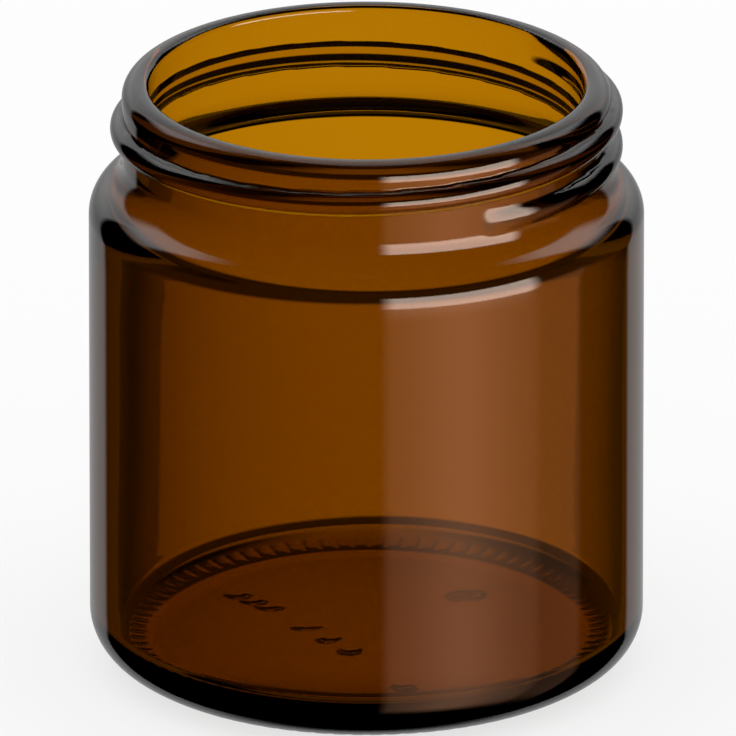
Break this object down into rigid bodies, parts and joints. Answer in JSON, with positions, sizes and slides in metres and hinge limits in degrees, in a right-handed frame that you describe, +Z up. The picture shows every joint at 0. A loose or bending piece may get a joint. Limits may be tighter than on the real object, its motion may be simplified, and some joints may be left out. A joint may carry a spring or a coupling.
{
  "type": "cosmetic cream jar",
  "caption": "Wide-mouth amber glass cream jar with a screw neck, rounded shoulder and thick notched base.",
  "frame": {"origin": "centre of the base, on the plane the jar stands on", "axes": "+Z up along the jar's axis, out of the mouth; -Y is the front, next to which the thread starts"},
  "size_m": [0.062, 0.062, 0.0684],
  "materials": {
    "amber_glass": "clear polished amber soda-lime glass"
  },
  "bodies": {
    "root": {"glass_jar": "amber_glass"}
  },
  "joints": []
}
